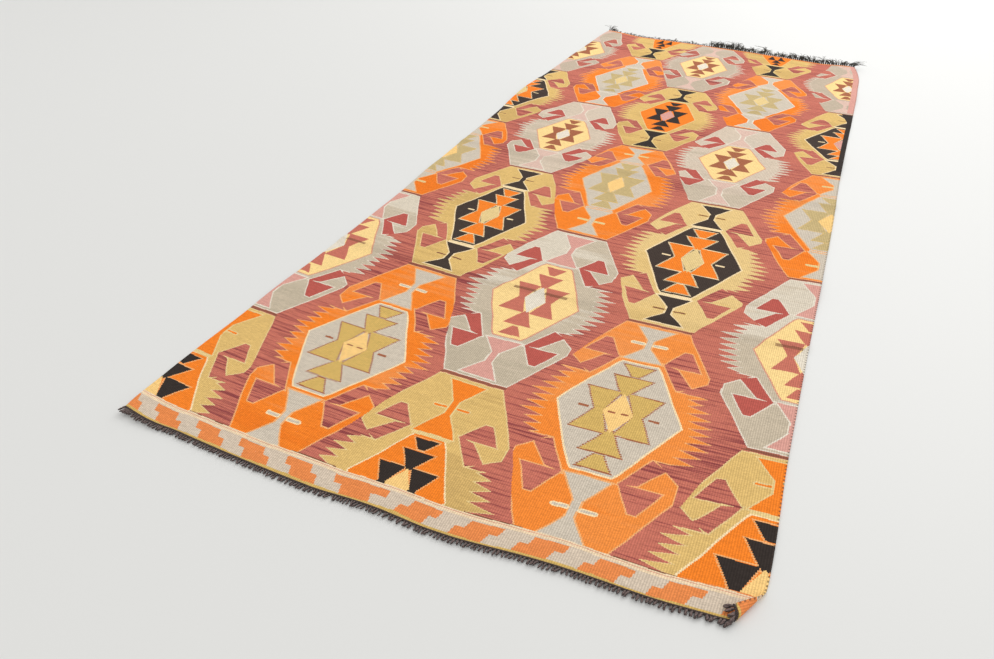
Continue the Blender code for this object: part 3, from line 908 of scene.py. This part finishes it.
class RugDyes(bpy.types.PropertyGroup):
    """Yarn colours of the rug, in sRGB."""

    brick: dye("Brick red", "Ground of the field", (0.79, 0.455, 0.385))
    madder: dye("Madder", "Darker streaks of the ground", (0.57, 0.275, 0.275))
    crimson: dye("Crimson", "Ground let into the grey rings' hooks", (0.74, 0.36, 0.32))
    orange: dye("Orange", "Rings, hexagons and stars", (0.97, 0.52, 0.16))
    tangerine: dye("Tangerine", "The palest orange ring", (0.96, 0.57, 0.26))
    flame: dye("Flame", "Deeper patches of orange rings", (0.92, 0.45, 0.11))
    salmon: dye("Salmon", "Faded patches of orange rings", (0.95, 0.60, 0.34))
    khaki: dye("Khaki", "Rings", (0.88, 0.735, 0.455))
    barley: dye("Barley", "The palest khaki ring", (0.91, 0.78, 0.53))
    olive: dye("Olive", "Darker patches of khaki rings", (0.76, 0.62, 0.38))
    grey: dye("Grey", "Rings and hexagons", (0.82, 0.77, 0.70))
    flax: dye("Flax", "Grey rings of the near rows", (0.79, 0.73, 0.64))
    taupe: dye("Taupe", "Grey rings of the far rows", (0.77, 0.70, 0.62))
    stone: dye("Stone", "Darker patches of grey rings", (0.73, 0.68, 0.59))
    sand: dye("Sand", "Ground of the border blocks, and rings", (0.84, 0.77, 0.69))
    black: dye("Black", "Stars and the black selvedge", (0.21, 0.18, 0.165))
    soot: dye("Soot", "Faded black hexagons and stitches", (0.265, 0.22, 0.195))
    umber: dye("Umber", "Thin dark lines and crossbars", (0.52, 0.33, 0.25))
    rust: dye("Rust", "Dotted outlines of gold stars", (0.66, 0.40, 0.28))
    gold: dye("Gold", "Olive-gold stars and the first weft's line", (0.84, 0.70, 0.40))
    fawn: dye("Fawn", "Faded gold stars", (0.78, 0.69, 0.49))
    yellow: dye("Yellow", "Middle diamonds", (0.98, 0.81, 0.52))
    lemon: dye("Lemon", "Pale yellow hexagons", (0.985, 0.85, 0.58))
    straw: dye("Straw", "Light contours of khaki rings", (0.91, 0.80, 0.56))
    peach: dye("Peach", "Light contours of orange rings", (0.96, 0.70, 0.46))
    cream: dye("Cream", "Contours of hexagons", (0.98, 0.88, 0.70))
    ecru: dye("Ecru", "Line above the border blocks", (0.94, 0.84, 0.70))
    chalk: dye("Chalk", "Off-white contours and diamonds", (0.91, 0.87, 0.80))
    rose: dye("Rose", "Contours of lemon hexagons and a border line", (0.86, 0.60, 0.50))
    pink: dye("Pink", "Dusty pink hourglasses and selvedge", (0.86, 0.63, 0.58))
    blush: dye("Blush", "Faded hourglasses of the far rows", (0.87, 0.74, 0.68))
    coral: dye("Coral", "Border blocks", (0.92, 0.55, 0.31))
    cord: dye("End cord", "Dark brown warp ends", (0.20, 0.15, 0.14))
    # painted highlight: the cord's upper side turns this lighter colour, as do random paler fibres
    cord_light: dye("End cord, light side", "Where the cord has faded", (0.34, 0.27, 0.23))
    # painted highlight: the tassels' upper side turns this lighter colour, as do random paler fibres
    tassel_light: dye("Tassels, light side", "Where the tassels have faded", (0.60, 0.51, 0.49))
    fringe: dye("Far fringe", "Black warp ends", (0.11, 0.10, 0.075))
    # painted highlight: the strands' upper side turns this lighter colour, as do random paler fibres
    fringe_light: dye("Far fringe, light side", "Where they have faded", (0.31, 0.28, 0.21))


class RugSizes(bpy.types.PropertyGroup):
    """Sizes of the weave, the end cord and the fringes."""

    width: metres("Width", "Average width between the selvedges", 1.48)
    length: metres("Length", "Length of the cloth", 3.64)
    row_length: metres("Row", "Length of cloth from one row of medallions to the next", 0.402)
    thickness: metres("Thickness", "Thickness of the cloth", 0.0025)
    rib: metres("Rib", "Spacing of the warp ribs", 0.0052)
    pick: metres("Pick", "Spacing of the weft picks", 0.0016)
    relief: metres("Relief", "Depth of the ribs", 0.0008)
    wander: metres("Wander", "How far the woven lines stray", 0.012)
    cord_radius: metres("Cord radius", "Of one of the end cord's two plies", 0.0016)
    cord_pitch: metres("Cord twist", "Length of one turn of the end cord", 0.0090)
    tassel_length: metres("Tassel length", "Of the short twisted tassels", 0.0105)
    seed: IntProperty(name="Seed", description="Of all the uneven lengths", default=7, min=0)


class RugStage(bpy.types.PropertyGroup):
    """Floor, light and camera."""

    floor: dye("Floor", "Pale plain floor", (0.874, 0.873, 0.865))
    sky: FloatProperty(name="Sky light", description="Strength of the light from all round",
                       default=0.88, min=0.0)
    lamp: FloatProperty(name="Lamp", description="Power of the big soft lamp, in watts",
                        default=210.0, min=0.0, unit="POWER")
    eye: FloatVectorProperty(name="Camera", description="Where the camera stands",
                             default=(0.5811, -2.5487, 1.134), size=3, unit="LENGTH")
    heading: FloatProperty(name="Heading", description="Turned to the left of the rug's length",
                           default=math.radians(25.28), subtype="ANGLE")
    dip: FloatProperty(name="Dip", description="How far the camera looks down",
                       default=math.radians(37.38), subtype="ANGLE")
    tilt: FloatProperty(name="Tilt", description="Roll about the view direction",
                        default=math.radians(-0.76), subtype="ANGLE")
    lens: FloatProperty(name="Lens", description="Focal length in mm on a 36 mm sensor",
                        default=24.77, min=1.0)


# -------------------------------------------------------------------- operators
# The cloth's mesh is finer beyond a place across, for the curl, and up to a row, for the end.
FINE_ACROSS, FINE_ROW = 0.955, 0.16
COARSE_COLUMNS, FINE_COLUMNS = 108, 22
FINE_ROWS, COARSE_ROWS = 30, 300

# The end cord, in metres, or in radii of a ply where its plies turn.
CORD_BEYOND = 0.0032        # its middle, from the cloth's first weft
CORD_UP = 1.6               # its middle, from the underside
CORD_WIDE, CORD_HIGH = 0.80, 0.55    # how far a ply swings from the middle
CORD_POINTS, CORD_SIDES = 12, 8      # of the mesh, on each turn and round a ply
CORD_FIBRES = 900.0

# The near fringe's tassels.
TASSEL_FIRST, TASSEL_LAST = 0.001, 0.996     # across
TASSEL_UNEVEN = (0.85, 1.15)         # shares of the spacing and of the length
TASSEL_ROOT = 0.0050                 # from the cloth's first weft
ROOT_RAISED = 0.0006                 # and this much higher than the tip
TASSEL_LEAN, TASSEL_STRAY = -0.15, 0.22      # sideways, of the length
CORNER_LEAN, CORNER_REACH = -0.8, 0.012      # more lean at the left corner, and its reach across
TASSEL_TURNS = 0.6
TASSEL_UP, TASSEL_SWING = 1.55, 0.5  # the middle's height and a ply's swing, in radii of a ply
ROOT_THIN, ROOT_SWELL = 0.55, 3.0    # a ply's share of thickness at the root, and its swelling
TIP_THIN, TIP_ROUND = 0.02, 6        # and at the tip, squared, and how late it rounds off
TASSEL_POINTS, TASSEL_SIDES = 15, 7
TASSEL_FIBRES = 320.0

# The far fringe's strands, which hang in clumps.
CLUMP, CLUMP_WIDTH = 0.011, 0.55     # spacing, and a clump's share of it
CLUMP_LENGTH, CLUMP_LONGER = 0.6, 0.7        # least share of the length, and how much more
CLUMP_RISE, CLUMP_HIGHER = 0.25, 0.55        # the same of the rise
CLUMP_BEND, STRAND_BEND = 0.9, 0.40  # sideways, of the length
STRAND_LENGTHS, STRAND_RISES = (0.7, 1.1), (0.4, 1.2)
BLOWN, BLOWN_FROM = 1.1, 0.93        # more bend past this place across
BEND_SHORTENS = 0.25
WAVE, WAVE_TURN = 0.10, 5            # a strand's small wave
STRAND_GAP = 0.0002                  # from the cloth's last weft
STRAND_UP, STRAND_MOST = 0.0012, 0.033       # a root's height, and the most that a strand has
ARCH = 1.7                           # radians of the sine that a strand rises by
STRAND_RADIUS, STRAND_RADII, STRAND_TAPER = 0.0011, (0.8, 1.3), 0.45
STRAND_POINTS, STRAND_SIDES = 9, 4
STRAND_FIBRES = 500.0
ANY_TURN = 6.28                      # what random turns are drawn up to

FLOOR_HALF, FLOOR_BELOW, FLOOR_ROUGHNESS = 60.0, 0.0004, 0.5
SKY_COLOUR = (1.0, 1.0, 0.99, 1.0)
LAMP_SIDES, LAMP_PLACE, LAMP_AIM = (6.0, 4.0), (1.9, 5.2, 4.5), (0.0, 0.4, 0.0)
SENSOR_WIDTH, CLIP_END = 36.0, 100.0


def finish_piece(piece, material, node):
    """Gives a new piece its finish and stands it in for its CAD node."""
    piece.data.materials.append(material)
    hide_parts(node)
    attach(piece, BODY)


def in_two_spacings(start, middle, end, first, second):
    """Even steps from start to middle, and others from there to the end."""
    return np.concatenate([np.linspace(start, middle, first), np.linspace(middle, end, second)[1:]])


class RUG_OT_cloth(bpy.types.Operator):
    """Weave the cloth: field, border and selvedges in one sheet."""

    bl_idname = "rug.cloth"
    bl_label = "Cloth"

    def execute(self, context):
        sizes, dyes = context.scene.rug_sizes, context.scene.rug_dyes
        columns = in_two_spacings(0, FINE_ACROSS, 1, COARSE_COLUMNS, FINE_COLUMNS)
        rows = in_two_spacings(NEAR_ROW, FINE_ROW, FAR_ROW, FINE_ROWS, COARSE_ROWS)
        piece = closed_sheet("woven_cloth", columns, rows, sizes.thickness)
        finish_piece(piece, cloth_material(sizes, dyes), "kilim_cloth")
        return {"FINISHED"}


class RUG_OT_end_cord(bpy.types.Operator):
    """Twist the dark two-ply cord along the bordered end."""

    bl_idname = "rug.end_cord"
    bl_label = "End cord"

    def execute(self, context):
        """Each ply is a helix round the cord's middle, flattened to an ellipse."""
        sizes, dyes = context.scene.rug_sizes, context.scene.rug_dyes
        radius = sizes.cord_radius
        turns = sizes.width / sizes.cord_pitch
        across = np.linspace(0, 1, int(turns * CORD_POINTS))
        paths = []
        for ply in (0.0, math.pi):
            turn = 2 * math.pi * turns * across + ply
            beyond = CORD_BEYOND + radius * CORD_WIDE * np.cos(turn)
            above = radius * (CORD_UP + CORD_HIGH * np.sin(turn))
            paths.append(lay(across, row_beyond(NEAR_ROW, -beyond, across), above))
        radii = np.full((2, len(across)), radius)
        piece = strands("end_cord_twist", paths, radii, CORD_SIDES, (0, 0, 1))
        material = yarn_material("end_cord_wool", dyes.cord, dyes.cord_light, CORD_FIBRES)
        finish_piece(piece, material, "near_end_cord")
        return {"FINISHED"}


class RUG_OT_near_fringe(bpy.types.Operator):
    """Set the short twisted tassels along the end cord."""

    bl_idname = "rug.near_fringe"
    bl_label = "Near fringe"

    def execute(self, context):
        """Each tassel is two plies, helices round a leaning straight line.

        A ply swells from its root and rounds off at its tip as sqrt(1 - t^6).
        """
        sizes, dyes = context.scene.rug_sizes, context.scene.rug_dyes
        random = np.random.default_rng(sizes.seed)
        places, pitches, fats, lengths = np.array(NEAR_FRINGE).T
        across = [TASSEL_FIRST]
        while across[-1] < TASSEL_LAST:
            pitch = np.interp(across[-1], places, pitches) * random.uniform(*TASSEL_UNEVEN)
            across.append(across[-1] + pitch / sizes.width)
        across = np.array(across)[:, None]
        many = len(across)
        fat = np.interp(across, places, fats)
        length = np.interp(across, places, lengths) * sizes.tassel_length
        length = length * random.uniform(*TASSEL_UNEVEN, (many, 1))
        slant = random.normal(0.0, TASSEL_STRAY, (many, 1)) + TASSEL_LEAN
        slant += CORNER_LEAN * np.exp(-across / CORNER_REACH)
        t = np.linspace(0, 1, TASSEL_POINTS)
        swollen = np.minimum(1.0, ROOT_THIN + ROOT_SWELL * t)
        rounded = np.sqrt(np.clip(1 + TIP_THIN - t ** TIP_ROUND, TIP_THIN, 1))
        paths, radii = [], []
        for ply in (0.0, math.pi):
            turn = 2 * math.pi * TASSEL_TURNS * t + ply + random.uniform(0, ANY_TURN, (many, 1))
            drift = slant * length * t + np.cos(turn) * fat * TASSEL_SWING
            place = across + drift / sizes.width
            row = row_beyond(NEAR_ROW, -(TASSEL_ROOT + length * t), place)
            above = fat * (TASSEL_UP + TASSEL_SWING * np.sin(turn)) + ROOT_RAISED * (1 - t)
            paths.append(lay(place, row, above))
            radii.append(fat * swollen * rounded)
        paths, radii = np.concatenate(paths), np.concatenate(radii)
        piece = strands("near_tassels", paths, radii, TASSEL_SIDES, (0, 0, 1))
        material = yarn_material("tassel_wool", dyes.cord, dyes.tassel_light, TASSEL_FIBRES)
        finish_piece(piece, material, "near_fringe")
        return {"FINISHED"}


class RUG_OT_far_fringe(bpy.types.Operator):
    """Tease out the ragged black warp ends of the far end."""

    bl_idname = "rug.far_fringe"
    bl_label = "Far fringe"

    def execute(self, context):
        """Each strand bends sideways as t^2, waves a little, and rises as a sine."""
        sizes, dyes = context.scene.rug_sizes, context.scene.rug_dyes
        random = np.random.default_rng(sizes.seed + 1)
        places, lengths, counts = np.array(FAR_FRINGE).T
        fine = np.linspace(0, 1, 2000)
        density = np.interp(fine, places, counts)
        share = np.cumsum(density)
        many = int(density.mean() * sizes.width)
        across = np.interp(random.uniform(0, share[-1], many), share, fine)
        clump = np.round(across * sizes.width / CLUMP)
        centre = clump * CLUMP / sizes.width
        across = centre + (across - centre) * CLUMP_WIDTH
        by_clump = np.random.default_rng(sizes.seed + 2).uniform(0, 1, (int(clump.max()) + 1, 4))
        own_length, own_bend, own_rise, _ = by_clump[clump.astype(int)].T
        length = np.interp(across, places, lengths) * (CLUMP_LENGTH + CLUMP_LONGER * own_length)
        length *= random.uniform(*STRAND_LENGTHS, many)
        bend = (own_bend - 0.5) * CLUMP_BEND + random.normal(0, STRAND_BEND, many)
        bend += BLOWN * np.clip((across - BLOWN_FROM) / (1 - BLOWN_FROM), 0, 1)
        curl = random.uniform(0, ANY_TURN, many)
        rise = (CLUMP_RISE + CLUMP_HIGHER * own_rise) * random.uniform(*STRAND_RISES, many)
        across, length, bend, curl, rise = (v[:, None] for v in (across, length, bend, curl, rise))
        t = np.linspace(0, 1, STRAND_POINTS)
        beyond = STRAND_GAP + length * t * (1 - BEND_SHORTENS * t * np.abs(bend))
        drift = length * (bend * t * t + WAVE * np.sin(WAVE_TURN * t + curl) * t)
        place = across + drift / sizes.width
        above = np.minimum(STRAND_UP + length * rise * np.sin(t * ARCH), STRAND_MOST)
        paths = lay(place, row_beyond(FAR_ROW, beyond, place), above)
        radii = STRAND_RADIUS * (1 - STRAND_TAPER * t) * random.uniform(*STRAND_RADII, (many, 1))
        piece = strands("far_strands", paths, radii, STRAND_SIDES, (1, 0, 0))
        material = yarn_material("far_fringe_wool", dyes.fringe, dyes.fringe_light, STRAND_FIBRES)
        finish_piece(piece, material, "far_fringe")
        return {"FINISHED"}


class RUG_OT_stage(bpy.types.Operator):
    """Set up the floor, the soft light and the camera."""

    bl_idname = "rug.stage"
    bl_label = "Stage"

    def execute(self, context):
        stage, scene = context.scene.rug_stage, context.scene
        self.lay_floor(stage)
        self.light(stage, scene)
        self.set_camera(stage, scene)
        scene.view_settings.view_transform = "Standard"
        return {"FINISHED"}

    def lay_floor(self, stage):
        """A flat square of floor, a hair below the rug."""
        corners = np.array([(-1, -1), (1, -1), (1, 1), (-1, 1)]) * FLOOR_HALF
        points = np.column_stack([corners, np.full(4, -FLOOR_BELOW)])
        floor = make_piece("floor", points, [[0, 1, 2, 3]])
        material = bpy.data.materials.new("pale_floor")
        material.use_nodes = True
        shader = material.node_tree.nodes["Principled BSDF"]
        shader.inputs["Base Color"].default_value = linear(stage.floor)
        shader.inputs["Roughness"].default_value = FLOOR_ROUGHNESS
        floor.data.materials.append(material)

    def light(self, stage, scene):
        """Light from all round, and one big soft lamp beyond the far right corner."""
        world = bpy.data.worlds.new("studio")
        world.use_nodes = True
        background = world.node_tree.nodes["Background"]
        background.inputs["Color"].default_value = SKY_COLOUR
        background.inputs["Strength"].default_value = stage.sky
        scene.world = world
        lamp = bpy.data.lights.new("soft_lamp", "AREA")
        lamp.shape = "RECTANGLE"
        lamp.size, lamp.size_y = LAMP_SIDES
        lamp.energy = stage.lamp
        holder = bpy.data.objects.new("soft_lamp", lamp)
        holder.location = LAMP_PLACE
        aim = Vector(LAMP_AIM) - holder.location
        holder.rotation_euler = aim.to_track_quat("-Z", "Y").to_euler()
        scene.collection.objects.link(holder)

    def set_camera(self, stage, scene):
        """The camera looks along (-sin h cos d, cos h cos d, -sin d), rolled by the tilt."""
        heading, dip, tilt = stage.heading, stage.dip, stage.tilt
        ahead = Vector((-math.sin(heading) * math.cos(dip), math.cos(heading) * math.cos(dip),
                        -math.sin(dip)))
        level = Vector((math.cos(heading), math.sin(heading), 0.0))
        top = level.cross(ahead)
        right = level * math.cos(tilt) + top * math.sin(tilt)
        up = top * math.cos(tilt) - level * math.sin(tilt)
        camera = bpy.data.cameras.new("camera")
        camera.lens, camera.sensor_width = stage.lens, SENSOR_WIDTH
        camera.clip_end = CLIP_END
        holder = bpy.data.objects.new("camera", camera)
        turn = Matrix((right, up, -ahead)).transposed().to_4x4()
        holder.matrix_world = Matrix.Translation(Vector(stage.eye)) @ turn
        scene.collection.objects.link(holder)
        scene.camera = holder


class RUG_PT_panel(bpy.types.Panel):
    """Lists the rug's steps, sizes and dyes in the sidebar."""

    bl_label = "Kilim Rug"
    bl_idname = "RUG_PT_panel"
    bl_space_type = "VIEW_3D"
    bl_region_type = "UI"
    bl_category = "Rug"

    def draw(self, context):
        layout = self.layout
        for operator in OPERATORS:
            layout.operator(operator.bl_idname)
        for group in (context.scene.rug_sizes, context.scene.rug_dyes, context.scene.rug_stage):
            box = layout.box()
            for name in group.__annotations__:
                box.prop(group, name)


OPERATORS = (RUG_OT_cloth, RUG_OT_end_cord, RUG_OT_near_fringe, RUG_OT_far_fringe, RUG_OT_stage)
CLASSES = (RugDyes, RugSizes, RugStage, *OPERATORS, RUG_PT_panel)


def register():
    for cls in CLASSES:
        bpy.utils.register_class(cls)
    bpy.types.Scene.rug_dyes = PointerProperty(type=RugDyes)
    bpy.types.Scene.rug_sizes = PointerProperty(type=RugSizes)
    bpy.types.Scene.rug_stage = PointerProperty(type=RugStage)


def unregister():
    del bpy.types.Scene.rug_stage
    del bpy.types.Scene.rug_sizes
    del bpy.types.Scene.rug_dyes
    for cls in reversed(CLASSES):
        bpy.utils.unregister_class(cls)


def main():
    register()
    bpy.ops.rug.stage()
    bpy.ops.rug.cloth()
    bpy.ops.rug.end_cord()
    bpy.ops.rug.near_fringe()
    bpy.ops.rug.far_fringe()


if __name__ == "__main__":
    main()
